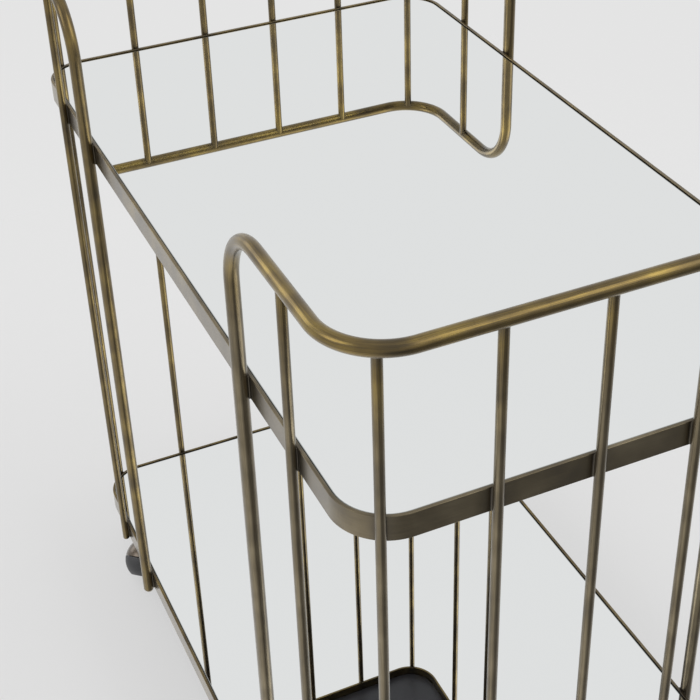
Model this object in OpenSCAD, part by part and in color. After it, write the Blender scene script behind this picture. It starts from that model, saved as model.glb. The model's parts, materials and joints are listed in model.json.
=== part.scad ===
// Bar cart on four swivelling ball casters. Two mirrored shelves hang between two
// bent tube ends, and thin upright rods fence the gallery above the top shelf.
// Millimetres, +Z up, +Y along the cart, origin on the floor under its middle.

/* [Shelves] */
// Outer width of a shelf frame, across the cart
shelf_w = 460; // [380:1:560]
// Outer length of a shelf frame, along the cart
shelf_l = 820; // [680:1:1000]
// Outer corner radius of a shelf frame, seen from above
shelf_corner_r = 45; // [30:1:60]
// Height of the flat bar that a shelf frame is bent from
band_h = 22; // [22:0.5:30]
// Thickness of that flat bar
band_t = 3; // [2:0.5:5]
// Height from the lower shelf frame to the upper one
shelf_rise = 575; // [460:1:700]
// Depth of the mirror below the top edge of its frame
mirror_inset = 1.5; // [1:0.5:5]
// Thickness of the mirror glass
mirror_t = 4; // [3:0.5:5]
// Thickness of the board that backs the mirror
board_t = 3; // [2:0.5:6]
// Play round the mirror and the board inside their frame
glass_play = 0.6; // [0.3:0.1:1.5]

/* [Ends] */
// Diameter of the bent tube
tube_d = 12; // [10:0.5:16]
// Wall of the bent tube
tube_wall = 1.2; // [1:0.1:2]
// Height of the tube's centre above the upper shelf frame
gallery_h = 143; // [110:1:180]
// Radius of the bend from a post into the gallery rail
post_bend_r = 57; // [40:1:80]
// Distance from the end of the cart back to the posts
arm_reach = 204; // [170:1:240]

/* [Rods] */
// Diameter of the thin rods
rod_d = 8; // [6:0.5:10]
// Spacing of the four rods across each end
rod_gap = 82; // [60:1:90]
// Distance from the end of the cart back to the side rods
side_rod_reach = 107; // [90:1:130]
// Turn of the corner rods round the corner, from the side towards the end
corner_rod_turn = 60; // [45:1:70]
// Length of a rod below the lower shelf frame
rod_foot = 1; // [0:0.5:10]

/* [Shelf fixings] */
// Width of a welded tab under the board
tab_w = 16; // [14:1:24]
// Reach of a tab in from the frame
tab_reach = 18; // [14:1:26]
// Thickness of a tab
tab_t = 1.6; // [1.2:0.1:2]

/* [Casters] */
// Diameter of the ball that the hood and the wheel make
ball_d = 54; // [44:1:66]
// Room between the top of the ball and the underside of the lower shelf frame
ball_headroom = 8; // [7:0.5:20]
// Distance from a swivel to the side of the shelf frame
caster_side_in = 35; // [26:1:60]
// Distance from a swivel to the end of the shelf frame
caster_end_in = 118; // [70:1:160]
// Turn of every caster on its swivel, as the cart stands
caster_turn = 50; // [0:5:355]
// Tilt of the wheel's axle below level
axle_tilt = 45; // [30:1:50]
// Wall of the hood
hood_wall = 2.5; // [2:0.5:4]
// Diameter of the swivel stem
stem_d = 8; // [7:0.5:10]
// Diameter of the wheel's axle
axle_d = 6; // [5:0.5:8]
// Radial play of the swivel and of the wheel on their pins
running_play = 0.05; // [0.02:0.01:0.1]
// Gap between the hood and the wheel
hood_gap = 1; // [0.8:0.1:2]

/* [Hidden] */
ENDS = ["front", "back"];
ROD_NAMES = ["side_rod_left", "corner_rod_left", "end_rod_1", "end_rod_2",
             "end_rod_3", "end_rod_4", "corner_rod_right", "side_rod_right"];
CORNERS = ["front_left", "front_right", "back_left", "back_right"];

$fn = 96;
brass = "#8a7b55";
brass_dark = "#5a5040";
bronze = "#4a4238";

tube_r = tube_d / 2;
rod_r = rod_d / 2;
ball_r = ball_d / 2;

// Heights
lower_z = ball_d + ball_headroom;
upper_z = lower_z + shelf_rise;
rail_z = upper_z + band_h + gallery_h;
mirror_drop = mirror_inset + mirror_t;
board_under = band_h - mirror_drop - board_t;

// The tubes and the rods stand against the outside of the shelf frames
post_x = shelf_w / 2 + tube_r;
rail_y = shelf_l / 2 + tube_r;
rail_corner_r = shelf_corner_r + tube_r;
post_y = rail_y - arm_reach;
arm_l = arm_reach - post_bend_r - rail_corner_r;
rod_x = shelf_w / 2 + rod_r;
rod_y = shelf_l / 2 + rod_r;
rod_corner_r = shelf_corner_r + rod_r;
corner_x = shelf_w / 2 - shelf_corner_r;
corner_y = shelf_l / 2 - shelf_corner_r;
// A rod runs up into the underside of the tube, and is cut to fit round it
rod_top = rail_z - tube_r / 3;

// Places of one end's rods, in the order of ROD_NAMES, for the end at +Y
corner_rod = [corner_x + rod_corner_r * cos(corner_rod_turn),
              corner_y + rod_corner_r * sin(corner_rod_turn)];
ROD_PLACES = [
    [-rod_x, rail_y - side_rod_reach], [-corner_rod[0], corner_rod[1]],
    [-1.5 * rod_gap, rod_y], [-0.5 * rod_gap, rod_y],
    [0.5 * rod_gap, rod_y], [1.5 * rod_gap, rod_y],
    corner_rod, [rod_x, rail_y - side_rod_reach]];

// Inside of a shelf frame
in_x = shelf_w / 2 - band_t;
in_y = shelf_l / 2 - band_t;

// Casters
caster_x = shelf_w / 2 - caster_side_in;
caster_y = shelf_l / 2 - caster_end_in;
CASTER_AT = [[-caster_x, -caster_y], [caster_x, -caster_y],
             [-caster_x, caster_y], [caster_x, caster_y]];
plate_rise = 3;
plate_top = lower_z + plate_rise;
plate_t = 2.5;
plate_in = 20;
plate_l = 46;
flange_t = 1.5;
flange_r = 9;
boss_r = stem_d / 2 + 3.5;
swivel_gap = 0.4;
boss_top = plate_top - plate_t - flange_t - swivel_gap;
boss_bottom = ball_d * 0.72;
stem_in_boss = 13;
stem_bottom = boss_top - stem_in_boss;
rivet_r = stem_d / 2 + 2.5;
rivet_h = 2;
// The ball trails its swivel, and is set off to the side that the wheel is on
ball_centre = [-ball_d / 6, ball_d / 3, ball_r];
wheel_face = ball_r * 0.82;
dish_r = ball_r * 0.45;
dish_depth = 1.5;
axle_in_hood = ball_r * 0.56;
axle_in_wheel = ball_r * 0.52;
hub_r = axle_d / 2 + 3;

// Tabs stand on the inside of a shelf frame, clear of the casters' plates: place and
// the way each one reaches in
tab_spread = caster_y - plate_l / 2 - tab_w;
TABS = concat(
    [for (y = [-tab_spread, 0, tab_spread]) [-in_x, y, 0]],
    [for (y = [-tab_spread, 0, tab_spread]) [in_x, y, 180]],
    [[0, -in_y, 90], [0, in_y, 270]]);

// Small parts
cap_plug = 8;
bore_spare = 0.5;

// ---- shared shapes ----

// Turns the drawing at the +Y end round to the end named by i: 0 front, 1 back
module at_end(i) {
    mirror([0, i == 0 ? 1 : 0, 0])
        children();
}

// A straight length of tube or bar standing on the XY plane
module straight(outer_r, inner_r, length) {
    difference() {
        cylinder(r = outer_r, h = length);
        if (inner_r > 0)
            translate([0, 0, -1])
                cylinder(r = inner_r, h = length + 2);
    }
}

// A quarter bend in the XY plane, from +X round to +Y
module quarter_bend(bend_r, outer_r, inner_r) {
    rotate_extrude(angle = 90)
        translate([bend_r, 0])
            difference() {
                circle(r = outer_r);
                if (inner_r > 0)
                    circle(r = inner_r);
            }
}

// Half of the bent tube at the +Y end: post, bend, arm, corner and half the end run
module half_end_path(outer_r, inner_r, foot) {
    translate([post_x, post_y, foot])
        straight(outer_r, inner_r, rail_z - post_bend_r - foot);
    translate([post_x, post_y + post_bend_r, rail_z - post_bend_r])
        rotate([90, 0, -90])
            quarter_bend(post_bend_r, outer_r, inner_r);
    translate([post_x, post_y + post_bend_r, rail_z])
        rotate([-90, 0, 0])
            straight(outer_r, inner_r, arm_l);
    translate([corner_x, corner_y, rail_z])
        quarter_bend(rail_corner_r, outer_r, inner_r);
    translate([0, rail_y, rail_z])
        rotate([0, 90, 0])
            straight(outer_r, inner_r, corner_x);
}

module end_tube(i) {
    color(brass)
        at_end(i)
            for (s = [0, 1])
                mirror([s, 0, 0])
                    half_end_path(tube_r, tube_r - tube_wall, lower_z);
}

// A domed foot with a stub that plugs each post
module end_cap() {
    intersection() {
        sphere(r = tube_r);
        translate([-tube_d, -tube_d, -tube_d])
            cube([2 * tube_d, 2 * tube_d, tube_d]);
    }
    cylinder(r = tube_r - tube_wall, h = cap_plug);
}

module post_end_caps() {
    color(brass_dark)
        for (x = [-post_x, post_x], y = [-post_y, post_y])
            translate([x, y, lower_z])
                end_cap();
}

// The length of tube that a rod at the +Y end meets
module tube_over(k) {
    if (k == 0 || k == 7)
        translate([k == 0 ? -post_x : post_x, post_y + post_bend_r, rail_z])
            rotate([-90, 0, 0])
                cylinder(r = tube_r, h = arm_l);
    else if (k == 1 || k == 6)
        mirror([k == 1 ? 1 : 0, 0, 0])
            translate([corner_x, corner_y, rail_z])
                quarter_bend(rail_corner_r, tube_r, 0);
    else
        translate([-corner_x, rail_y, rail_z])
            rotate([0, 90, 0])
                cylinder(r = tube_r, h = 2 * corner_x);
}

module upright_rod(i, k) {
    color(brass)
        at_end(i)
            difference() {
                translate([ROD_PLACES[k][0], ROD_PLACES[k][1], lower_z - rod_foot])
                    cylinder(r = rod_r, h = rod_top - lower_z + rod_foot);
                tube_over(k);
            }
}

// A flat plate with round corners, from z = 0 up
module round_plate(w, l, r, h) {
    translate([-w / 2 + r, -l / 2, 0])
        cube([w - 2 * r, l, h]);
    for (s = [0, 1])
        mirror([s, 0, 0]) {
            translate([w / 2 - r, -l / 2 + r, 0])
                cube([r, l - 2 * r, h]);
            for (t = [0, 1])
                mirror([0, t, 0])
                    translate([w / 2 - r, l / 2 - r, 0])
                        rotate_extrude(angle = 90)
                            square([r, h]);
        }
}

module shelf_frame(z) {
    color(brass_dark)
        translate([0, 0, z])
            for (s = [0, 1], t = [0, 1])
                mirror([s, 0, 0])
                    mirror([0, t, 0]) {
                        translate([in_x, 0, 0])
                            cube([band_t, corner_y, band_h]);
                        translate([0, in_y, 0])
                            cube([corner_x, band_t, band_h]);
                        translate([corner_x, corner_y, 0])
                            rotate_extrude(angle = 90)
                                translate([shelf_corner_r - band_t, 0])
                                    square([band_t, band_h]);
                    }
}

module shelf_tabs(z) {
    color(brass_dark)
        for (p = TABS)
            translate([p[0], p[1], z + board_under - tab_t])
                rotate([0, 0, p[2]])
                    translate([0, -tab_w / 2, 0])
                        cube([tab_reach, tab_w, tab_t]);
}

// A sheet that lies inside a shelf frame, from z up
module inset_sheet(z, thickness) {
    translate([0, 0, z])
        round_plate(2 * (in_x - glass_play), 2 * (in_y - glass_play),
                    shelf_corner_r - band_t - glass_play, thickness);
}

module board(z) {
    color("#2a2a2c")
        inset_sheet(z + board_under, board_t);
}

module mirror_glass(z) {
    color("#dfe3e4")
        inset_sheet(z + band_h - mirror_drop, mirror_t);
}

// ---- caster, drawn with its swivel on the Z axis ----

module at_caster(i, turn) {
    translate([CASTER_AT[i][0], CASTER_AT[i][1], 0])
        rotate([0, 0, turn])
            children();
}

// Carries a drawing on the Z axis to the axle line: the wheel's side is along +Z
module on_axle() {
    translate(ball_centre)
        rotate([0, -90 - axle_tilt, 0])
            children();
}

// A plate welded to the inside of the shelf frame, which is on the side of way, -1 or 1
module caster_plate(way) {
    color(bronze)
        difference() {
            mirror([way < 0 ? 1 : 0, 0, 0])
                translate([-plate_in, -plate_l / 2, plate_top - plate_t])
                    cube([plate_in + in_x - caster_x, plate_l, plate_t]);
            translate([0, 0, plate_top - plate_t - 1])
                cylinder(d = stem_d, h = plate_t + 2);
        }
}

// A riveted pin, with the flange that the hood turns under
module caster_stem() {
    color("#9a958a") {
        translate([0, 0, stem_bottom])
            cylinder(d = stem_d, h = plate_top - stem_bottom);
        translate([0, 0, plate_top - plate_t - flange_t])
            cylinder(r = flange_r, h = flange_t);
        translate([0, 0, plate_top])
            cylinder(r = rivet_r, h = rivet_h);
    }
}

// The half of the ball away from the wheel, hollow, with a swivel boss and an axle hub
module caster_hood() {
    color(bronze)
        difference() {
            union() {
                difference() {
                    on_axle()
                        difference() {
                            sphere(r = ball_r);
                            sphere(r = ball_r - hood_wall);
                        }
                    on_axle()
                        translate([-ball_d, -ball_d, -hood_gap / 2])
                            cube([2 * ball_d, 2 * ball_d, ball_d]);
                }
                translate([0, 0, boss_bottom])
                    cylinder(r = boss_r, h = boss_top - boss_bottom);
                on_axle()
                    translate([0, 0, -ball_r + hood_wall / 2])
                        cylinder(r = hub_r, h = ball_r - hood_wall / 2 - hood_gap);
            }
            translate([0, 0, stem_bottom - bore_spare])
                cylinder(r = stem_d / 2 + running_play, h = ball_d);
            on_axle()
                translate([0, 0, -axle_in_hood])
                    cylinder(d = axle_d, h = ball_d);
        }
}

module caster_axle() {
    color("#9a958a")
        on_axle()
            translate([0, 0, -axle_in_hood])
                cylinder(d = axle_d, h = axle_in_hood + axle_in_wheel);
}

// The other part of the ball, with its pole cut flat and dished
module caster_wheel() {
    color("#3a3a3d")
        on_axle()
            difference() {
                intersection() {
                    sphere(r = ball_r);
                    translate([-ball_d, -ball_d, hood_gap / 2])
                        cube([2 * ball_d, 2 * ball_d, wheel_face - hood_gap / 2]);
                }
                translate([0, 0, -1])
                    cylinder(r = axle_d / 2 + running_play, h = 1 + axle_in_wheel + bore_spare);
                translate([0, 0, wheel_face - dish_depth])
                    cylinder(r = dish_r, h = 2 * dish_depth);
            }
}

// ---- the cart ----

for (i = [0, 1]) {
    end_tube(i);
    for (k = [0:7])
        upright_rod(i, k);
}
post_end_caps();

shelf_frame(upper_z);  // upper_shelf_frame
shelf_tabs(upper_z);  // upper_shelf_tabs
board(upper_z);  // upper_board
mirror_glass(upper_z);  // upper_mirror

shelf_frame(lower_z);  // lower_shelf_frame
shelf_tabs(lower_z);  // lower_shelf_tabs
board(lower_z);  // lower_board
mirror_glass(lower_z);  // lower_mirror

for (i = [0:3]) {
    side = CASTER_AT[i][0] < 0 ? -1 : 1;
    at_caster(i, 0) caster_plate(side);
    at_caster(i, 0) caster_stem();
    at_caster(i, caster_turn) caster_hood();
    at_caster(i, caster_turn) caster_axle();
    at_caster(i, caster_turn) caster_wheel();
}
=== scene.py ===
"""Bar cart on ball casters: the looks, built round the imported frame, in metres and on its axes."""

import json
import math

import bmesh
import bpy
import numpy as np
from mathutils import Matrix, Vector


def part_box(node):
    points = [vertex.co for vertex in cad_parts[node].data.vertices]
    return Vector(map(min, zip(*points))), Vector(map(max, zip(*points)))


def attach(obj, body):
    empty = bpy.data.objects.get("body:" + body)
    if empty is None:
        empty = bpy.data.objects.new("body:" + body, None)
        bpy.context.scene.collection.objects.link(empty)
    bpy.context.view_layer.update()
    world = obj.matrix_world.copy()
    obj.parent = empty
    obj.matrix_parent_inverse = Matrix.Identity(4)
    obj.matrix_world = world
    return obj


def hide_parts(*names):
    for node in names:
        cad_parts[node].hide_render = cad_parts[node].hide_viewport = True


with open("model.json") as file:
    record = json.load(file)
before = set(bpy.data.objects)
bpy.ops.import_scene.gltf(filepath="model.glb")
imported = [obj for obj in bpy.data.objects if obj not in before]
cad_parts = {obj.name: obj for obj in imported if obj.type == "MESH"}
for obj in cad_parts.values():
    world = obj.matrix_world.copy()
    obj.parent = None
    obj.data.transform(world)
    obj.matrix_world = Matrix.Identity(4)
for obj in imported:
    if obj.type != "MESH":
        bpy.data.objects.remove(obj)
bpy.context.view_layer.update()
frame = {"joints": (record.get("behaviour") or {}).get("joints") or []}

MM = 0.001
UP = np.array([0.0, 0.0, 1.0])


def low_high(node):
    """Lowest and highest corner of a CAD node, as arrays."""
    low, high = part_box(node)
    return np.array(low), np.array(high)


# ---- sizes, from the frame and from the stock that the cart is made of ----

shelf_low, shelf_high = low_high("upper_shelf_frame")
lower_frame_low, lower_frame_high = low_high("lower_shelf_frame")
rail_low, rail_high = low_high("front_end_tube")
rod_low, rod_high = low_high("front_end_rod_1")
PLATE_LOW, PLATE_HIGH = low_high("caster_plate_front_left")

TUBE_R = 6 * MM
ROD_R = (rod_high[0] - rod_low[0]) / 2
POST_BEND_R = 57 * MM
SHELF_CORNER_R = 45 * MM
BAND_T = 3 * MM
GLASS_PLAY = 0.6 * MM
BRAZE_INSET = 3 * MM  # how far inside a band's edges the braze is darkest
STEM_R = 4 * MM
AXLE_R = 3 * MM
BALL_GAP = 0.25 * MM  # half the gap between a hood and its wheel

HALF_W = shelf_high[0]
HALF_L = shelf_high[1]
BANDS = {
    "upper": (shelf_low[2], shelf_high[2]),
    "lower": (lower_frame_low[2], lower_frame_high[2]),
}
POST_X = HALF_W + TUBE_R
RAIL_Y = HALF_L + TUBE_R
POST_Y = -rail_high[1] + TUBE_R
RAIL_Z = rail_high[2] - TUBE_R
RAIL_CORNER_R = SHELF_CORNER_R + TUBE_R
POST_FOOT_Z = rail_low[2]

ENDS = {"front": -1, "back": 1}
ROD_NAMES = [
    "side_rod_left", "corner_rod_left", "end_rod_1", "end_rod_2",
    "end_rod_3", "end_rod_4", "corner_rod_right", "side_rod_right",
]
CORNERS = {
    "front_left": (-1, -1), "front_right": (1, -1),
    "back_left": (-1, 1), "back_right": (1, 1),
}


# ---- surfaces ----


def rounded(points, radii, turns=5):
    """Fillets a closed outline. Each corner becomes an arc tangent to its two sides, and
    each side gets a point just past the arc, so that smooth shading stays flat between."""
    p = np.asarray(points, float)
    out = []
    for k, r in enumerate(radii):
        here, back, on = p[k], p[k - 1] - p[k], p[(k + 1) % len(p)] - p[k]
        back, on = back / np.linalg.norm(back), on / np.linalg.norm(on)
        if r <= 0:
            out.append(here[None])
            continue
        half = math.acos(np.clip(back @ on, -1, 1)) / 2
        reach = r / math.tan(half)
        centre = here + (back + on) / np.linalg.norm(back + on) * r / math.sin(half)
        start, end = here + back * reach, here + on * reach
        sweep = math.pi - 2 * half
        t = np.linspace(0, sweep, turns)[:, None]
        arc = (start - centre) * np.sin(sweep - t) + (end - centre) * np.sin(t)
        arc = centre + arc / math.sin(sweep)
        out.append(np.vstack([start + back * r * 0.5, arc, end + on * r * 0.5]))
    return np.vstack(out)


def grid_faces(rows, cols, wrap_rows, wrap_cols):
    """Quads of a grid of rows x cols points, joined round where it wraps."""
    i = np.arange(rows if wrap_rows else rows - 1)[:, None]
    j = np.arange(cols if wrap_cols else cols - 1)[None, :]
    a, b = i * cols + j, i * cols + (j + 1) % cols
    c, d = (i + 1) % rows * cols + (j + 1) % cols, (i + 1) % rows * cols + j
    return np.stack([a, b, c, d], -1).reshape(-1, 4)


def sheet(grid, wrap_rows=False, wrap_cols=True, along=None, joint=None):
    """A surface ready to be joined into a piece: its points, faces and point attributes."""
    rows, cols = grid.shape[:2]
    return {
        "points": grid.reshape(-1, 3),
        "faces": grid_faces(rows, cols, wrap_rows, wrap_cols),
        "along": (grid if along is None else along).reshape(-1, 3),
        "joint": np.zeros(rows * cols) if joint is None else np.asarray(joint).reshape(-1),
    }


def outward(points, faces):
    """Turns a closed surface's faces round when its signed volume is negative."""
    p = points - points.mean(0)
    a, b, c, d = (p[faces[:, k]] for k in range(4))
    volume = (np.cross(a, b) * c).sum() + (np.cross(a, c) * d).sum()
    return faces if volume > 0 else faces[:, ::-1]


def piece(name, sheets, material, body, replaces=(), crease=35):
    """Joins closed surfaces into one mesh, closes its seams and poles, and gives it to the
    frame: the material, the body it rides on, and the CAD nodes that it stands for."""
    points, faces, start = [], [], 0
    for s in sheets:
        points.append(s["points"])
        faces.append(outward(s["points"], s["faces"]) + start)
        start += len(s["points"])
    points, faces = np.vstack(points), np.vstack(faces)
    mesh = bpy.data.meshes.new(name)
    mesh.vertices.add(len(points))
    mesh.vertices.foreach_set("co", points.astype(np.float32).ravel())
    mesh.loops.add(faces.size)
    mesh.loops.foreach_set("vertex_index", faces.astype(np.int32).ravel())
    mesh.polygons.add(len(faces))
    mesh.polygons.foreach_set("loop_start", np.arange(0, faces.size, 4, dtype=np.int32))
    mesh.polygons.foreach_set("use_smooth", np.ones(len(faces), bool))
    along = mesh.attributes.new("along", "FLOAT_VECTOR", "POINT")
    values = np.vstack([s["along"] for s in sheets])
    along.data.foreach_set("vector", values.astype(np.float32).ravel())
    joint = mesh.attributes.new("joint", "FLOAT", "POINT")
    values = np.concatenate([s["joint"] for s in sheets])
    joint.data.foreach_set("value", values.astype(np.float32))
    mesh.update(calc_edges=True)
    close_poles(mesh)
    mesh.set_sharp_from_angle(angle=math.radians(crease))
    mesh.materials.append(material)
    obj = bpy.data.objects.new(name, mesh)
    bpy.context.scene.collection.objects.link(obj)
    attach(obj, body)
    if replaces:
        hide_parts(*replaces)
    return obj


def close_poles(mesh):
    """Merges the points that fall on each other at a pole, so quads there become triangles."""
    bm = bmesh.new()
    bm.from_mesh(mesh)
    bmesh.ops.remove_doubles(bm, verts=bm.verts, dist=1e-7)
    bm.to_mesh(mesh)
    bm.free()


def near(points, spots, reach):
    """How close each point is to the nearest of some spots: 1 there, and a bell curve away."""
    spots = np.asarray(spots, float)
    gap = np.linalg.norm(points[..., None, :] - spots, axis=-1).min(-1)
    return np.exp(-((gap / reach) ** 2))


def lathe(profile, centre=(0, 0, 0), frame_axes=None, steps=64):
    """Turns a closed outline of (radius, height) once round the Z axis of frame_axes, whose
    columns are X, Y and Z, then moves it to centre. The outline starts and ends on the axis."""
    profile = np.asarray(profile, float)
    turn = np.linspace(0, 2 * math.pi, steps, endpoint=False)
    r, z = profile[:, :1], profile[:, 1:]
    local = np.stack([r * np.cos(turn), r * np.sin(turn), z + 0 * turn], -1)
    axes = np.eye(3) if frame_axes is None else np.asarray(frame_axes)
    return sheet(local @ axes.T + np.asarray(centre, float), along=local)


def sweep(path, side, profile, wrap, joint_spots=None, reach=7 * MM):
    """Carries a closed outline (a, b) along a path: path + side * a + (tangent x side) * b,
    with the path's length as the third pattern coordinate."""
    on = np.roll(path, -1, 0) - np.roll(path, 1, 0)
    if not wrap:
        on[0], on[-1] = path[1] - path[0], path[-1] - path[-2]
    on /= np.linalg.norm(on, axis=1)[:, None]
    second = np.cross(on, side)
    second /= np.linalg.norm(second, axis=1)[:, None]
    a, b = profile[:, 0], profile[:, 1]
    grid = path[:, None] + side[:, None] * a[:, None] + second[:, None] * b[:, None]
    step = np.linalg.norm(np.diff(path, axis=0), axis=1)
    run = np.concatenate([[0], np.cumsum(step)])[:, None] + 0 * a
    along = np.stack([np.broadcast_to(a, run.shape), np.broadcast_to(b, run.shape), run], -1)
    joint = None if joint_spots is None else near(grid, joint_spots, reach)
    return sheet(grid, wrap_rows=wrap, along=along, joint=joint)


def straight(start, end, step):
    """Points from start up to, but not on, end, about a step apart."""
    start, end = np.asarray(start, float), np.asarray(end, float)
    count = max(1, round(np.linalg.norm(end - start) / step))
    return start + (end - start) * np.arange(count)[:, None] / count


def quarter(centre, first, second, radius, steps):
    """Points of a quarter circle, from centre + first * radius to centre + second * radius."""
    t = np.arange(steps)[:, None] / steps * math.pi / 2
    way = np.asarray(first) * np.cos(t) + np.asarray(second) * np.sin(t)
    return np.asarray(centre) + radius * way


def rounded_rectangle(half_w, half_l, r, z, steps=20, step=9 * MM):
    """A closed path round a rectangle with quarter-circle corners, and its outward side."""
    x, y = half_w - r, half_l - r
    path, side = [], []
    for sx, sy in ((1, 1), (-1, 1), (-1, -1), (1, -1)):
        first, second = ((sx, 0, 0), (0, sy, 0)) if sx * sy > 0 else ((0, sy, 0), (sx, 0, 0))
        arc = quarter((sx * x, sy * y, z), first, second, r, steps)
        end = np.array((sx * x, sy * y, z)) + r * np.array(second)
        following = {(1, 1): (-x, half_l, z), (-1, 1): (-half_w, -y, z),
                     (-1, -1): (x, -half_l, z), (1, -1): (half_w, y, z)}[sx, sy]
        run = straight(end, following, step)
        t = np.arange(steps)[:, None] / steps * math.pi / 2
        path += [arc, run]
        side += [np.asarray(first) * np.cos(t) + np.asarray(second) * np.sin(t),
                 np.tile(np.asarray(second, float), (len(run), 1))]
    return np.vstack(path), np.vstack(side)


# ---- colours and materials ----


def linear(hex_colour):
    """An sRGB hex colour as linear RGBA."""
    c = np.array([int(hex_colour[k:k + 2], 16) for k in (1, 3, 5)]) / 255
    c = np.where(c <= 0.04045, c / 12.92, ((c + 0.055) / 1.055) ** 2.4)
    return (*c.tolist(), 1.0)


def add(tree, kind, links=(), stops=(), **settings):
    """Adds a node. A setting named in_K fills input K, any other sets a property, links are
    (output socket, input name or number), and stops are a colour ramp's (place, sRGB hex)."""
    n = tree.nodes.new(kind)
    for key, value in settings.items():
        if key.startswith("in_"):
            name = key[3:].replace("_", " ")
            (n.inputs[int(name)] if name.isdigit() else n.inputs[name]).default_value = value
        else:
            setattr(n, key, value)
    for source, target in links:
        tree.links.new(source, n.inputs[target])
    while stops and len(n.color_ramp.elements) < len(stops):
        n.color_ramp.elements.new(0.5)
    for k, (place, colour) in enumerate(stops):
        element = n.color_ramp.elements[k]
        element.position, element.color = place, linear(colour)
    return n


def new_material(name, **sockets):
    """A material with one Principled surface, whose plain values are set on its own sockets."""
    mat = bpy.data.materials.new(name)
    mat.use_nodes = True
    tree = mat.node_tree
    tree.nodes.clear()
    surface = add(tree, "ShaderNodeBsdfPrincipled")
    for key, value in sockets.items():
        surface.inputs[key.replace("_", " ")].default_value = value
    add(tree, "ShaderNodeOutputMaterial", [(surface.outputs[0], "Surface")])
    return mat, tree, surface


def connect(tree, surface, **sources):
    """Links output sockets to the surface's inputs of the same names."""
    for name, source in sources.items():
        tree.links.new(source, surface.inputs[name.replace("_", " ")])


def aged_brass():
    """Brass tube and bar, brushed lengthways, darkened with antiquing fluid and lacquered. The
    eye sees an olive gold on the rails, a duller grey brown below them, and near black where
    bars are brazed together. Towards the front, the camera side, the colour is made duller still:
    painted shade."""
    mat, tree, surface = new_material("aged_brass", Metallic=0.92,
                                      Coat_Weight=0.8, Coat_Roughness=0.38)
    along = add(tree, "ShaderNodeAttribute", attribute_name="along").outputs["Vector"]
    place = add(tree, "ShaderNodeTexCoord").outputs["Object"]
    # Brush lines are about 0.1 mm apart on the real finish: drawn 0.5 mm apart and 40 mm long
    brush = add(tree, "ShaderNodeMapping", [(along, "Vector")], in_Scale=(2000, 2000, 25))
    lines = add(tree, "ShaderNodeTexNoise", [(brush.outputs[0], "Vector")],
                in_Scale=1.0, in_Detail=3.0, in_Roughness=0.6).outputs[0]
    # Patina gathers in patches of about 30 mm, with 2 mm flecks in them
    patches = add(tree, "ShaderNodeTexNoise", [(place, "Vector")],
                  in_Scale=33.0, in_Detail=2.0, in_Roughness=0.5).outputs[0]
    flecks = add(tree, "ShaderNodeTexNoise", [(place, "Vector")],
                 in_Scale=500.0, in_Detail=2.0, in_Roughness=0.6).outputs[0]
    worn = add(tree, "ShaderNodeMath", [(lines, 0), (patches, 1)], operation="ADD").outputs[0]
    worn = add(tree, "ShaderNodeMath", [(worn, 0)], operation="MULTIPLY", in_1=0.5).outputs[0]
    gold = add(tree, "ShaderNodeValToRGB", [(worn, "Fac")],
               stops=[(0.36, "#42340e"), (0.50, "#665322"), (0.62, "#8a7431")]).outputs[0]
    dull_and_shaded = add(tree, "ShaderNodeValToRGB", [(worn, "Fac")],
               stops=[(0.34, "#4c422e"), (0.50, "#665a40"), (0.64, "#7e7258")]).outputs[0]
    # Below the rails the finish is a duller grey brown, where hands have not kept it gold; the extra
    # dullness towards the front, the camera side, is painted shade
    place_xyz = add(tree, "ShaderNodeSeparateXYZ", [(place, 0)]).outputs
    below = add(tree, "ShaderNodeMapRange", [(place_xyz[2], 0)], in_1=0.79, in_2=0.70).outputs[0]
    # Painted shade: the front, where the camera is, is mixed further towards the dull grey brown
    front = add(tree, "ShaderNodeMapRange", [(place_xyz[1], 0)],
                in_1=0.1, in_2=-0.2, in_3=0.3).outputs[0]
    wear_and_front_shade = add(tree, "ShaderNodeMath", [(below, 0), (front, 1)], operation="MULTIPLY").outputs[0]
    colour = add(tree, "ShaderNodeMix", [(wear_and_front_shade, 0), (gold, 6), (dull_and_shaded, 7)],
                 data_type="RGBA").outputs[2]
    speck = add(tree, "ShaderNodeValToRGB", [(flecks, "Fac")],
                stops=[(0.30, "#b8b0a0"), (0.46, "#ffffff"), (0.80, "#ffffff")]).outputs[0]
    colour = add(tree, "ShaderNodeMix", [(colour, 6), (speck, 7)],
                 data_type="RGBA", blend_type="MULTIPLY", in_0=0.2).outputs[2]
    joint = add(tree, "ShaderNodeAttribute", attribute_name="joint").outputs["Fac"]
    colour = add(tree, "ShaderNodeMix", [(joint, 0), (colour, 6)],
                 data_type="RGBA", in_7=linear("#2e281e")).outputs[2]
    rough = add(tree, "ShaderNodeMapRange", [(lines, 0)], in_3=0.18, in_4=0.27).outputs[0]
    bump = add(tree, "ShaderNodeBump", [(lines, "Height")], in_Strength=0.3, in_Distance=0.00003)
    connect(tree, surface, Base_Color=colour, Roughness=rough, Normal=bump.outputs[0])
    return mat


def mirror_glass():
    """Silvered float glass with ground edges. The eye sees a slightly cool reflection, and a
    thin grey green line where the arris is."""
    mat, tree, surface = new_material("mirror_glass", Metallic=1.0, Roughness=0.0)
    edge = add(tree, "ShaderNodeAttribute", attribute_name="joint").outputs["Fac"]
    colour = add(tree, "ShaderNodeMix", [(edge, 0)], data_type="RGBA",
                 in_6=linear("#f6f8f8"), in_7=linear("#5a5f5b")).outputs[2]
    rough = add(tree, "ShaderNodeMapRange", [(edge, 0)], in_3=0.0, in_4=0.3).outputs[0]
    connect(tree, surface, Base_Color=colour, Roughness=rough)
    return mat


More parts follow.
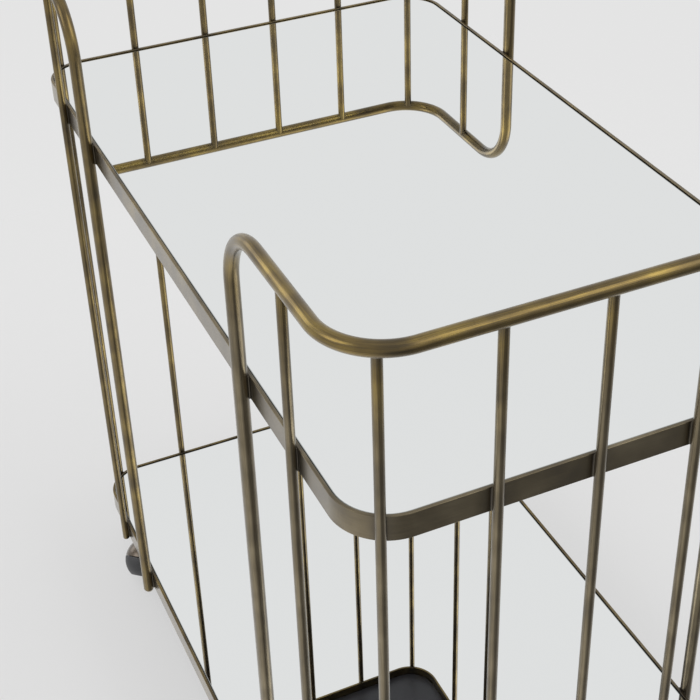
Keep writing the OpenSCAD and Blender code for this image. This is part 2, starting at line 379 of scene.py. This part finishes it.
def black_board():
    """Fibreboard sealed with matt black paint. The eye sees a near-black sheet with a fine
    felted grain."""
    mat, tree, surface = new_material("black_board")
    place = add(tree, "ShaderNodeTexCoord").outputs["Object"]
    # Fibres show as 1.5 mm felting under the paint
    felt = add(tree, "ShaderNodeTexNoise", [(place, "Vector")],
               in_Scale=650.0, in_Detail=4.0, in_Roughness=0.65).outputs[0]
    colour = add(tree, "ShaderNodeValToRGB", [(felt, "Fac")],
                 stops=[(0.3, "#26262a"), (0.7, "#35353a")]).outputs[0]
    rough = add(tree, "ShaderNodeMapRange", [(felt, 0)], in_3=0.30, in_4=0.42).outputs[0]
    bump = add(tree, "ShaderNodeBump", [(felt, "Height")], in_Strength=0.4, in_Distance=0.0001)
    connect(tree, surface, Base_Color=colour, Roughness=rough, Normal=bump.outputs[0])
    return mat


def zinc_steel():
    """Zinc-plated steel, as plated screws and pins are sold. The eye sees a cool silver with
    a faint cloudiness."""
    mat, tree, surface = new_material("zinc_steel", Metallic=1.0)
    place = add(tree, "ShaderNodeTexCoord").outputs["Object"]
    # Plating clouds are about 2 mm across
    cloud = add(tree, "ShaderNodeTexNoise", [(place, "Vector")],
                in_Scale=500.0, in_Detail=3.0, in_Roughness=0.5).outputs[0]
    colour = add(tree, "ShaderNodeValToRGB", [(cloud, "Fac")],
                 stops=[(0.3, "#9d9c94"), (0.7, "#c6c5bc")]).outputs[0]
    rough = add(tree, "ShaderNodeMapRange", [(cloud, 0)], in_3=0.26, in_4=0.42).outputs[0]
    connect(tree, surface, Base_Color=colour, Roughness=rough)
    return mat


def bronze_lacquer():
    """Pressed steel in a dark bronze lacquer. The eye sees a satin brown-black with a warm
    highlight, and faint orange peel."""
    mat, tree, surface = new_material("bronze_lacquer", Metallic=0.85,
                                      Coat_Weight=0.6, Coat_Roughness=0.12)
    place = add(tree, "ShaderNodeTexCoord").outputs["Object"]
    # Orange peel in the lacquer is about 1.2 mm across
    peel = add(tree, "ShaderNodeTexNoise", [(place, "Vector")],
               in_Scale=830.0, in_Detail=2.0, in_Roughness=0.5).outputs[0]
    colour = add(tree, "ShaderNodeValToRGB", [(peel, "Fac")],
                 stops=[(0.3, "#4b4136"), (0.7, "#5e5244")]).outputs[0]
    rough = add(tree, "ShaderNodeMapRange", [(peel, 0)], in_3=0.26, in_4=0.38).outputs[0]
    bump = add(tree, "ShaderNodeBump", [(peel, "Height")], in_Strength=0.25, in_Distance=0.00005)
    connect(tree, surface, Base_Color=colour, Roughness=rough, Normal=bump.outputs[0])
    return mat


def dark_wheel():
    """Moulded nylon, dark grey, spark-eroded satin. The eye sees a soft sheen with fine grit."""
    mat, tree, surface = new_material("dark_wheel", IOR=1.53)
    place = add(tree, "ShaderNodeTexCoord").outputs["Object"]
    # Spark grain is 0.1 mm on the real one: drawn as 0.7 mm
    grit = add(tree, "ShaderNodeTexNoise", [(place, "Vector")],
               in_Scale=1400.0, in_Detail=3.0, in_Roughness=0.6).outputs[0]
    colour = add(tree, "ShaderNodeValToRGB", [(grit, "Fac")],
                 stops=[(0.3, "#262628"), (0.7, "#343436")]).outputs[0]
    rough = add(tree, "ShaderNodeMapRange", [(grit, 0)], in_3=0.40, in_4=0.58).outputs[0]
    bump = add(tree, "ShaderNodeBump", [(grit, "Height")], in_Strength=0.3, in_Distance=0.00005)
    connect(tree, surface, Base_Color=colour, Roughness=rough, Normal=bump.outputs[0])
    return mat


BRASS, GLASS, BOARD = aged_brass(), mirror_glass(), black_board()
ZINC, BRONZE, WHEEL = zinc_steel(), bronze_lacquer(), dark_wheel()


# ---- where bars meet ----


def rod_places():
    """Plan centre of each upright rod, by CAD node name."""
    out = {}
    for end in ENDS:
        for rod in ROD_NAMES:
            low, high = low_high(f"{end}_{rod}")
            out[f"{end}_{rod}"] = ((low + high) / 2)[:2]
    return out


ROD_AT = rod_places()
POST_AT = [np.array([sx * POST_X, sy * POST_Y]) for sx in (-1, 1) for sy in (-1, 1)]


def frame_contact(at, radius):
    """Where an upright of that radius, standing at a plan point, touches the shelf frames:
    the point, and the unit vector from the frame out to the upright's centre."""
    inner = np.clip(at, (-HALF_W + SHELF_CORNER_R, -HALF_L + SHELF_CORNER_R),
                    (HALF_W - SHELF_CORNER_R, HALF_L - SHELF_CORNER_R))
    out = at - inner
    if abs(out[0]) < 1e-9 or abs(out[1]) < 1e-9:
        out = out / np.abs(out).max()
    else:
        out = out / np.linalg.norm(out)
    return at - out * radius, out


CONTACTS = [(*frame_contact(at, ROD_R), ROD_R) for at in ROD_AT.values()]
CONTACTS += [(*frame_contact(at, TUBE_R), TUBE_R) for at in POST_AT]
BAND_EDGES = [z for low, high in BANDS.values() for z in (low + BRAZE_INSET, high - BRAZE_INSET)]


# ---- bent tube ends ----


def end_tube_path(s):
    """Centreline of a bent end at y = s: up a post, over its bend, along the arm, round the
    corner, across, and down the other side the same way. Also its side direction, which is
    level and square to the line."""
    left = np.array([-1.0, 0, 0])
    out = np.array([0, float(s), 0])
    bend_y = s * (abs(POST_Y) + POST_BEND_R)
    corner_y = s * (RAIL_Y - RAIL_CORNER_R)
    corner_x = POST_X - RAIL_CORNER_R
    high = RAIL_Z - POST_BEND_R
    step, steps = 9 * MM, 28
    foot, top = (-POST_X, s * abs(POST_Y), POST_FOOT_Z), (-POST_X, s * abs(POST_Y), high)
    half = [
        straight(foot, top, step),
        quarter((-POST_X, bend_y, high), -out, UP, POST_BEND_R, steps),
        straight((-POST_X, bend_y, RAIL_Z), (-POST_X, corner_y, RAIL_Z), step),
        quarter((-corner_x, corner_y, RAIL_Z), left, out, RAIL_CORNER_R, steps),
        straight((-corner_x, s * RAIL_Y, RAIL_Z), (0, s * RAIL_Y, RAIL_Z), step),
    ]
    turn = np.arange(steps)[:, None] / steps * math.pi / 2
    sides = [np.tile(left, (len(p), 1)) for p in half[:3]]
    sides += [left * np.cos(turn) + out * np.sin(turn), np.tile(out, (len(half[4]), 1))]
    path, side = np.vstack(half), np.vstack(sides)
    flip = np.array([-1, 1, 1])
    path = np.vstack([path, [[0, s * RAIL_Y, RAIL_Z]], path[::-1] * flip])
    side = np.vstack([side, [out], side[::-1] * flip])
    return path, side


def capped(swept, rows, cols):
    """Closes an open sweep with a point at the middle of each of its two ends."""

    def with_middles(key):
        rings = swept[key].reshape(rows, cols, 3)
        first, last = (np.broadcast_to(rings[k].mean(0), rings[k].shape)[None] for k in (0, -1))
        return np.concatenate([first, rings, last])

    joint = swept["joint"].reshape(rows, cols)
    joint = np.concatenate([joint[:1], joint, joint[-1:]])
    return sheet(with_middles("points"), along=with_middles("along"), joint=joint)


def tube_end(name, s):
    """One bent tube: a circle carried along the end's centreline, with dark brazed spots."""
    path, side = end_tube_path(s)
    turn = np.linspace(0, 2 * math.pi, 40, endpoint=False)
    circle = TUBE_R * np.stack([np.cos(turn), np.sin(turn)], -1)
    spots = [(x, y, RAIL_Z - 0.7 * TUBE_R) for x, y in ROD_AT.values()]
    spots += [(*spot, z) for spot, _, _ in CONTACTS for z in BAND_EDGES]
    swept = sweep(path, side, circle, False, spots, 5 * MM)
    piece(f"{name}_bent_tube", [capped(swept, len(path), len(circle))], BRASS, "cart",
          [f"{name}_end_tube"])


for end, sign in ENDS.items():
    tube_end(end, sign)


def post_feet():
    """Closed ends of the four posts: a lathed dome, with a fine groove where it meets the
    tube."""
    t = np.linspace(0, math.pi / 2, 12)[:-1]
    dome = np.stack([TUBE_R * np.sin(t), -TUBE_R * np.cos(t)], -1)
    groove, plug_r, plug = 0.25 * MM, TUBE_R - 1.2 * MM, 6 * MM
    wall = [(TUBE_R, -0.6 * MM), (TUBE_R - groove * 0.3, -groove * 0.3), (TUBE_R - groove, 0)]
    profile = np.vstack([dome, wall, [(plug_r, 0), (plug_r, plug), (0, plug)]])
    feet = [lathe(profile, (*at, POST_FOOT_Z), steps=40) for at in POST_AT]
    for foot in feet:
        foot["joint"] = np.full(len(foot["joint"]), 0.25)
    piece("post_feet", feet, BRASS, "cart", ["post_end_caps"])


post_feet()


# ---- upright rods ----


def rail_underside(x, y):
    """Height of the bent tubes' underside over plan points, and how far off the centreline
    they are: the tube is a circle carried along straight runs and round corners."""
    cx, cy = POST_X - RAIL_CORNER_R, RAIL_Y - RAIL_CORNER_R
    ax, ay = np.abs(x), np.abs(y)
    ring = np.hypot(np.maximum(ax - cx, 0), np.maximum(ay - cy, 0)) - RAIL_CORNER_R
    off = np.clip(np.abs(ring) / TUBE_R, 0, 1)
    return RAIL_Z - TUBE_R * np.sqrt(1 - off**2), off


def upright(node):
    """A round rod: rings up its length, with a rounded lower end and, at the top, a quarter
    round of braze that spreads from the rod to the underside of the tube."""
    low, high = low_high(node)
    x, y = ROD_AT[node]
    turn = np.linspace(0, 2 * math.pi, 32, endpoint=False)
    nose = 0.7 * MM
    a = np.linspace(0, math.pi / 2, 5)
    foot_r = np.concatenate([[0], ROD_R - nose + nose * np.sin(a)])
    foot_z = low[2] + np.concatenate([[0], nose - nose * np.cos(a)])
    shaft_z = np.arange(foot_z[-1] + 8 * MM, RAIL_Z - 16 * MM, 8 * MM)
    radius = np.concatenate([foot_r, np.full(len(shaft_z), ROD_R)])[:, None] + 0 * turn
    height = np.concatenate([foot_z, shaft_z])[:, None] + 0 * turn
    under, off = rail_underside(x + ROD_R * np.cos(turn), y + ROD_R * np.sin(turn))
    spread = 1.1 * MM * np.clip((1 - off) / 0.35, 0, 1)
    v = np.linspace(0, math.pi / 2, 7)[:, None]
    flare_r = ROD_R + spread * (1 - np.cos(v))
    flare_under, _ = rail_underside(x + flare_r * np.cos(turn), y + flare_r * np.sin(turn))
    flare_z = flare_under - spread * (1 - np.sin(v)) + 0.1 * MM * v / v.max()
    top_r = np.vstack([ROD_R * 0.6 + 0 * turn, 0 * turn])
    top_z = np.full((2, 1), RAIL_Z - 0.2 * TUBE_R) + 0 * turn
    radius = np.vstack([radius, flare_r, top_r])
    height = np.vstack([height, flare_z, top_z])
    grid = np.stack([x + radius * np.cos(turn), y + radius * np.sin(turn), height], -1)
    along = np.stack([radius * np.cos(turn) + 3 * x, radius * np.sin(turn) + 3 * y, height], -1)
    touch = frame_contact(ROD_AT[node], ROD_R)[0]
    spots = [(*touch, z) for z in BAND_EDGES] + [(x, y, RAIL_Z - TUBE_R)]
    piece(f"{node}_bar", [sheet(grid, along=along, joint=near(grid, spots, 5 * MM))], BRASS,
          "cart", [node], crease=50)


for node in ROD_AT:
    upright(node)


# ---- shelves ----


def shelf_band(level):
    """A flat bar on edge, bent round a rounded rectangle: an eased rectangle carried along
    its closed path, with the bar's outer face on the path."""
    low, high = BANDS[level]
    half = (high - low) / 2
    path, side = rounded_rectangle(HALF_W, HALF_L, SHELF_CORNER_R, low + half)
    ease = 0.5 * MM
    bar = rounded([(0, -half), (0, half), (-BAND_T, half), (-BAND_T, -half)], [ease] * 4)
    spots = [(*spot, z) for spot, _, _ in CONTACTS
             for z in (low + BRAZE_INSET, low + half, high - BRAZE_INSET)]
    band = sweep(path, side, bar, True, spots, 7 * MM)
    piece(f"{level}_band", [band], BRASS, "cart", [f"{level}_shelf_frame"])


def braze_beads(level):
    """Braze in the two grooves beside each upright, where it stands against a shelf frame:
    a hollow-faced wedge between the frame and the round bar, carried up the band."""
    low, high = BANDS[level]
    beads = []
    rows = np.array([low + 0.4 * MM, low + 0.6 * MM, low + 2 * MM, (low + high) / 2,
                     high - 2 * MM, high - 0.6 * MM, high - 0.4 * MM])
    size = np.array([0, 0.8, 1, 1, 1, 0.8, 0])[:, None]
    for spot, out, radius in CONTACTS:
        across = np.array([-out[1], out[0]])
        angle = math.radians(48)
        foot = np.array([1.35 * radius * math.sin(angle), 0.0])
        rim = radius * np.array([math.sin(angle), 1 - math.cos(angle)])
        t = np.linspace(0, 1, 6)[:, None]
        pull = radius * np.array([0.80 * math.sin(angle), 0.10])
        hollow = (1 - t) ** 2 * foot + 2 * t * (1 - t) * pull + t**2 * rim
        wedge = np.vstack([[(0.0, -0.1 * MM), (foot[0], -0.1 * MM)], hollow,
                           [(0.6 * rim[0], radius * 0.5)]])
        for way in (-1, 1):
            a = way * (wedge[:, 0] * size + 0.5 * radius * (1 - size))
            b = wedge[:, 1] * size
            grid = np.concatenate([spot + a[..., None] * across + b[..., None] * out,
                                   np.broadcast_to(rows[:, None, None], (*a.shape, 1))], -1)
            beads.append(sheet(grid, joint=np.full(a.shape, 0.8)))
    piece(f"{level}_braze_beads", beads, BRASS, "cart")


def slab(half_w, half_l, r, low, high, arris, edge_value=0.0, steps=3):
    """A flat plate with round corners: loops of a rounded rectangle, drawn in and stacked
    from the middle of the underside, round the edges, to the middle of the top."""
    a = np.linspace(0, math.pi / 2, steps)
    rise, fall = arris * (1 - np.cos(a)), arris * (1 - np.sin(a))
    inset = np.concatenate([[3 * arris], fall, rise, [3 * arris]])
    height = np.concatenate([[low], low + rise, high - fall, [high]])
    loops = []
    for d, z in zip(inset, height):
        loops.append(rounded_rectangle(half_w - d, half_l - d, r - d, z, 14, 60 * MM)[0])
    count = min(len(loop) for loop in loops)
    grid = np.array([loop[:count] for loop in loops])
    under, over = (np.broadcast_to([0, 0, z], (1, count, 3)) for z in (low, high))
    joint = np.zeros(grid.shape[:2])
    joint[1:-1] = edge_value
    joint = np.vstack([0 * joint[:1], joint, 0 * joint[:1]])
    return sheet(np.concatenate([under, grid, over]), joint=joint)


def shelf_plates(level):
    """The board and the mirror of one shelf, inside the band."""
    half_w, half_l = HALF_W - BAND_T - GLASS_PLAY, HALF_L - BAND_T - GLASS_PLAY
    r = SHELF_CORNER_R - BAND_T - GLASS_PLAY
    low, high = low_high(f"{level}_board")
    piece(f"{level}_backing_board", [slab(half_w, half_l, r, low[2], high[2], 0.5 * MM)],
          BOARD, "cart", [f"{level}_board"])
    low, high = low_high(f"{level}_mirror")
    piece(f"{level}_mirror_glass", [slab(half_w, half_l, r, low[2], high[2], 0.5 * MM, 1.0, 2)],
          GLASS, "cart", [f"{level}_mirror"], crease=25)


def weld_bead(start, end, first, second, radius=1.6 * MM):
    """A bead of weld from start to end, filling the corner between the directions first and
    second: a quarter round whose radius ripples every 1.5 mm."""
    start, end = np.asarray(start, float), np.asarray(end, float)
    length = np.linalg.norm(end - start)
    rows = np.linspace(0, 1, int(length / (0.25 * MM)))[:, None]
    taper = np.sqrt(np.clip(1 - np.abs(2 * rows - 1) ** 8, 0, 1))
    size = radius * taper * (1 + 0.10 * np.sin(rows * length / (1.5 * MM) * 2 * math.pi))
    t = np.linspace(0, math.pi / 2, 7)
    sunk = -0.15
    a = np.concatenate([[sunk], np.cos(t), [sunk]]) * size
    b = np.concatenate([[sunk], np.sin(t), [1.0]]) * size
    grid = (start + (end - start) * rows)[:, None] + a[..., None] * np.asarray(first, float)
    return sheet(grid + b[..., None] * np.asarray(second, float), joint=np.full(a.shape, 0.7))


def moved(surface, offset):
    """The same surface, shifted."""
    surface["points"] = surface["points"] + np.asarray(offset, float)
    return surface


def tabs(level):
    """The flat lugs that a shelf's board rests on, each welded under its root to the band."""
    low, high = low_high(f"{level}_shelf_tabs")
    in_x, in_y = HALF_W - BAND_T, HALF_L - BAND_T
    width, reach, weld = 16 * MM, 18 * MM, 6 * MM
    thickness = (3 * MM, low[2], high[2], 0.3 * MM)
    spread = -PLATE_HIGH[1] - width
    plates, beads = [], []
    for s in (-1, 1):
        for y in (-spread, 0, spread):
            plate = slab(reach / 2, width / 2, *thickness, steps=4)
            plates.append(moved(plate, (s * (in_x - reach / 2), y, 0)))
            root = [(s * in_x, y + way * weld, low[2]) for way in (-1, 1)]
            beads.append(weld_bead(*root, (-s, 0, 0), (0, 0, -1)))
    for s in (-1, 1):
        plate = slab(width / 2, reach / 2, *thickness, steps=4)
        plates.append(moved(plate, (0, s * (in_y - reach / 2), 0)))
        root = [(way * weld, s * in_y, low[2]) for way in (-1, 1)]
        beads.append(weld_bead(*root, (0, -s, 0), (0, 0, -1)))
    piece(f"{level}_tab_lugs", plates + beads, BRASS, "cart",
          [f"{level}_shelf_tabs"])


# ---- casters ----

JOINTS = {j["name"]: j for j in frame["joints"]}
SWIVELS = {c: np.array(JOINTS[f"caster_swivel_{c}"]["pos_m"]) for c in CORNERS}


def axle_axes(corner):
    """Centre of a caster's ball, and axes whose Z is the side that the wheel is on."""
    joint = JOINTS[f"wheel_spin_{corner}"]
    z = np.array(joint["axis"])
    z /= np.linalg.norm(z)
    x = np.cross(UP, z)
    x /= np.linalg.norm(x)
    return np.array(joint["pos_m"]), np.stack([x, np.cross(z, x), z], -1)


def sphere_arc(radius, start, end, steps):
    """(radius, height) points on a circle round the origin, between two heights' angles."""
    a = np.linspace(math.asin(start / radius), math.asin(end / radius), steps)
    return radius * np.stack([np.cos(a), np.sin(a)], -1)


def hood(corner):
    """The pressed cover: half a ball with a wall, a rolled rim and an axle hub, and the boss
    that turns on the stem, whose foot flares into the ball."""
    centre, axes = axle_axes(corner)
    radius = centre[2]
    wall, lip = 2.5 * MM, 0.6 * MM
    inner = radius - wall
    hub, bore, deep = 6 * MM, AXLE_R + 0.02 * MM, -15 * MM
    outer = sphere_arc(radius, -radius * 0.9999, -BALL_GAP - lip, 36)
    rim_r = math.sqrt(radius**2 - BALL_GAP**2)
    edge = -BALL_GAP
    rim = [(rim_r - 0.05 * MM, edge - 0.3 * MM), (rim_r - 0.3 * MM, edge - 0.05 * MM),
           (rim_r - lip, edge), (inner + 0.4 * MM, edge), (inner, edge - 0.4 * MM)]
    hub_z = -math.sqrt(inner**2 - hub**2)
    inside = sphere_arc(inner, -BALL_GAP - 0.8 * MM, hub_z, 20)
    core = [(hub, -1.3 * MM), (hub - 0.3 * MM, -1 * MM), (bore, -1 * MM), (bore, deep), (0, deep)]
    shell = lathe(np.vstack([[(0, -radius)], outer, rim, inside, core]), centre, axes, 72)
    piece(f"{corner}_caster_cover", [shell, boss(corner, centre, radius)], BRONZE,
          f"swivel_{corner}", [f"caster_hood_{corner}"], crease=40)


def boss(corner, centre, radius):
    """A round boss on the swivel line. Each ring point's height comes from the ball under it:
    a quarter round spreads from the boss's wall to the ball's surface."""
    at = SWIVELS[corner]
    r, low, high = 7.5 * MM, 1.44 * radius, PLATE_LOW[2] - 1.9 * MM
    ease, bore, deep = 0.6 * MM, STEM_R + 0.05 * MM, high - 10 * MM
    turn = np.linspace(0, 2 * math.pi, 48, endpoint=False)

    def off_centre(rr):
        x, y = at[0] + rr * np.cos(turn), at[1] + rr * np.sin(turn)
        return np.hypot(x - centre[0], y - centre[1])

    def ball_height(rr):
        rise = np.sqrt(np.maximum(radius**2 - off_centre(rr) ** 2, 0))
        return np.maximum(centre[2] + rise, low + 0.8 * MM)

    spread = 2 * MM * np.clip((radius - off_centre(r)) / (6 * MM), 0, 1)
    v = np.linspace(0, math.pi / 2, 6)[:, None]
    flare_r = r + spread * (1 - np.sin(v))
    flare_z = ball_height(flare_r) + spread * (1 - np.cos(v))
    flare_z[0] -= 0.3 * MM * (spread > 0)
    flat = 0 * turn
    foot = np.array([(0, low), (r - ease, low), (r, low + ease)])
    head = np.array([(r, high - ease), (r - 0.15 * MM, high - 0.2 * MM), (r - ease, high),
                     (bore, high), (bore, deep), (0, deep)])
    rows_r = np.vstack([foot[:, :1] + flat, flare_r, head[:, :1] + flat])
    rows_z = np.vstack([foot[:, 1:] + flat, flare_z, head[:, 1:] + flat])
    x, y = at[0] + rows_r * np.cos(turn), at[1] + rows_r * np.sin(turn)
    return sheet(np.stack([x, y, rows_z], -1))


def wheel(corner):
    """The rolling part of the ball: a sphere cut at the hood's gap and at a flat face, with a
    dished middle, turned about the axle."""
    centre, axes = axle_axes(corner)
    radius = centre[2]
    face, dish_r, dish = 0.82 * radius, 0.45 * radius, 1.5 * MM
    face_r = math.sqrt(radius**2 - face**2)
    bore, deep, start_z = AXLE_R + 0.05 * MM, 14.6 * MM, BALL_GAP
    tread = sphere_arc(radius, BALL_GAP + 0.5 * MM, face - 0.5 * MM, 30)
    start = [(0, deep), (bore, deep), (bore, start_z + 0.3 * MM), (bore + 0.3 * MM, start_z),
             (radius - 0.8 * MM, start_z), (radius - 0.2 * MM, start_z + 0.15 * MM)]
    floor = face - dish
    end = [(face_r - 0.1 * MM, face - 0.1 * MM), (face_r - 0.6 * MM, face),
           (dish_r + 0.5 * MM, face), (dish_r + 0.1 * MM, face - 0.15 * MM),
           (dish_r, face - 0.5 * MM), (dish_r - 0.1 * MM, floor + 0.2 * MM),
           (dish_r - 0.5 * MM, floor), (0.45 * dish_r, floor), (0.40 * dish_r, floor + 0.6 * MM),
           (0.2 * dish_r, floor + 0.9 * MM), (0, floor + 1.0 * MM)]
    ball = lathe(np.vstack([start, tread, end]), centre, axes, 72)
    piece(f"{corner}_caster_wheel", [ball], WHEEL, f"wheel_{corner}",
          [f"caster_wheel_{corner}"], crease=40)


def pins(corner):
    """The axle, a pin with eased ends, and the stem: a pin with the flange that the hood
    turns under and a domed rivet head over the plate."""
    centre, axes = axle_axes(corner)
    radius, ease = centre[2], 0.4 * MM
    low, high, r = -0.56 * radius, 0.52 * radius, AXLE_R
    profile = [(0, low), (r - ease, low), (r, low + ease),
               (r, high - ease), (r - ease, high), (0, high)]
    piece(f"{corner}_caster_axle_pin", [lathe(profile, centre, axes, 32)], ZINC,
          f"swivel_{corner}", [f"caster_axle_{corner}"])
    at = (*SWIVELS[corner][:2], 0)
    under, over = PLATE_LOW[2], PLATE_HIGH[2]
    flange, head = 9 * MM, 6.5 * MM
    foot, disc = under - 15 * MM, under - 1.5 * MM
    t = np.linspace(0, math.pi / 2, 8)
    dome = np.stack([head * np.cos(t), over + 0.3 * MM + 1.7 * MM * np.sin(t)], -1)
    profile = np.vstack([
        [(0, foot), (STEM_R - ease, foot), (STEM_R, foot + ease)],
        [(STEM_R, disc), (flange - ease, disc), (flange, disc + ease)],
        [(flange, under - ease), (flange - ease, under), (STEM_R, under)],
        [(STEM_R, over), (head, over)],
        dome])
    profile[-1, 0] = 0
    piece(f"{corner}_caster_stem_pin", [lathe(profile, at, steps=48)], ZINC, "cart",
          [f"caster_stem_{corner}"])


def caster_plate(corner):
    """A flat plate with round corners, pierced by the stem, and welded along the band."""
    low, high = low_high(f"caster_plate_{corner}")
    middle, half = (low + high) / 2, (high - low) / 2
    plate = slab(half[0], half[1], 3 * MM, low[2], high[2], 0.4 * MM, steps=4)
    plate = moved(plate, (*middle[:2], 0))
    s = CORNERS[corner][0]
    edge = s * (HALF_W - BAND_T)
    ends = [(edge, low[1] + 5 * MM, low[2]), (edge, high[1] - 5 * MM, low[2])]
    bead = weld_bead(*ends, (-s, 0, 0), (0, 0, -1), 2 * MM)
    piece(f"{corner}_caster_plate", [plate, bead], BRONZE, "cart",
          [f"caster_plate_{corner}"])


for level in BANDS:
    shelf_band(level)
    braze_beads(level)
    shelf_plates(level)
    tabs(level)

for corner in CORNERS:
    hood(corner)
    wheel(corner)
    pins(corner)
    caster_plate(corner)


# ---- studio ----

PAPER = "#e0e0e0"
BACKDROP_LIGHT = 0.777
# Each: where it is, the cosines between which it comes up, and its light before and after
STUDIO_LIGHTS = [
    ((0.28, -0.77, -0.573), 0.66, 0.95, 0.79, 0.25),
    ((0.0, 0.0, 1.0), 0.85, 0.99, 0.0, 0.25),
    ((-0.848, 0.071, 0.525), 0.945, 0.985, 0.0, 2.4),
    ((0.58, -0.52, 0.62), 0.90, 0.98, 0.0, 2.0),
    ((-0.5, 0.8, 0.34), 0.95, 0.992, 0.0, 1.5),
    ((-0.3, -0.1, -0.95), 0.70, 0.95, 0.0, 0.35),
]
CAMERA_AT = (-0.52041, -1.09392, 1.33841)
CAMERA_TURN = (2.10975, -0.47052, 0.21483)


def studio_air():
    """Soft light from all round, darker low in front, brighter overhead and off the floor,
    with three softboxes: to the left, to the front right and high behind. Each light is the
    cosine between a direction and where the light is, passed through a smooth step. Straight
    to the camera it is plain pale grey."""
    world = bpy.data.worlds.new("studio")
    bpy.context.scene.world = world
    world.use_nodes = True
    tree = world.node_tree
    tree.nodes.clear()
    way = add(tree, "ShaderNodeTexCoord").outputs["Generated"]
    light = None
    for aim, start, end, low, high in STUDIO_LIGHTS:
        facing = add(tree, "ShaderNodeVectorMath", [(way, 0)], operation="DOT_PRODUCT",
                     in_1=aim).outputs["Value"]
        part = add(tree, "ShaderNodeMapRange", [(facing, 0)], interpolation_type="SMOOTHSTEP",
                   in_1=start, in_2=end, in_3=low, in_4=high).outputs[0]
        light = part if light is None else add(
            tree, "ShaderNodeMath", [(light, 0), (part, 1)], operation="ADD").outputs[0]
    seen = add(tree, "ShaderNodeLightPath").outputs["Is Camera Ray"]
    strength = add(tree, "ShaderNodeMix", [(seen, 0), (light, 2)], in_3=BACKDROP_LIGHT).outputs[0]
    back = add(tree, "ShaderNodeBackground", [(strength, "Strength")], in_Color=(1, 1, 1, 1))
    add(tree, "ShaderNodeOutputWorld", [(back.outputs[0], "Surface")])


studio_air()


def studio_floor():
    """A pale floor that takes the cart's soft shadow and fades into the backdrop."""
    t = np.linspace(0, 2 * math.pi, 96, endpoint=False)
    r = np.array([0, 0.3, 0.8, 1.4, 2.2, 3.0])[:, None]
    grid = np.stack([r * np.cos(t), r * np.sin(t), 0 * r + 0 * t], -1)
    mesh = bpy.data.meshes.new("studio_floor")
    faces = grid_faces(len(r), len(t), False, True)[:, ::-1]
    mesh.from_pydata(grid.reshape(-1, 3).tolist(), [], faces.tolist())
    mesh.update()
    obj = bpy.data.objects.new("studio_floor", mesh)
    bpy.context.scene.collection.objects.link(obj)
    obj.visible_glossy = obj.visible_diffuse = False
    mat = bpy.data.materials.new("pale_paper")
    mat.use_nodes = True
    tree = mat.node_tree
    tree.nodes.clear()
    place = add(tree, "ShaderNodeTexCoord").outputs["Object"]
    far = add(tree, "ShaderNodeVectorMath", [(place, 0)], operation="LENGTH").outputs["Value"]
    clear = add(tree, "ShaderNodeMapRange", [(far, 0)], interpolation_type="SMOOTHSTEP",
                in_1=0.75, in_2=1.9).outputs[0]
    paper = add(tree, "ShaderNodeBsdfDiffuse", in_Color=linear(PAPER))
    glow = add(tree, "ShaderNodeEmission", in_Strength=BACKDROP_LIGHT)
    even = add(tree, "ShaderNodeMixShader", [(paper.outputs[0], 1), (glow.outputs[0], 2)],
               in_0=0.65)
    air = add(tree, "ShaderNodeBsdfTransparent")
    fade = add(tree, "ShaderNodeMixShader", [(clear, 0), (even.outputs[0], 1), (air.outputs[0], 2)])
    add(tree, "ShaderNodeOutputMaterial", [(fade.outputs[0], "Surface")])
    mesh.materials.append(mat)


studio_floor()


def studio_camera():
    """The camera, at the height and angle that the cart is looked at from."""
    data = bpy.data.cameras.new("camera")
    data.sensor_width = 36
    data.lens = 77.06
    data.shift_y = -0.08
    data.clip_start = 0.05
    obj = bpy.data.objects.new("camera", data)
    bpy.context.scene.collection.objects.link(obj)
    turn = np.array(CAMERA_TURN)
    angle = np.linalg.norm(turn)
    look = Matrix.Rotation(angle, 3, turn / angle).transposed()
    look = (look @ Matrix.Diagonal((1, -1, -1))).to_4x4()
    obj.matrix_world = Matrix.Translation(CAMERA_AT) @ look
    bpy.context.scene.camera = obj


studio_camera()
bpy.context.scene.view_settings.view_transform = "Standard"
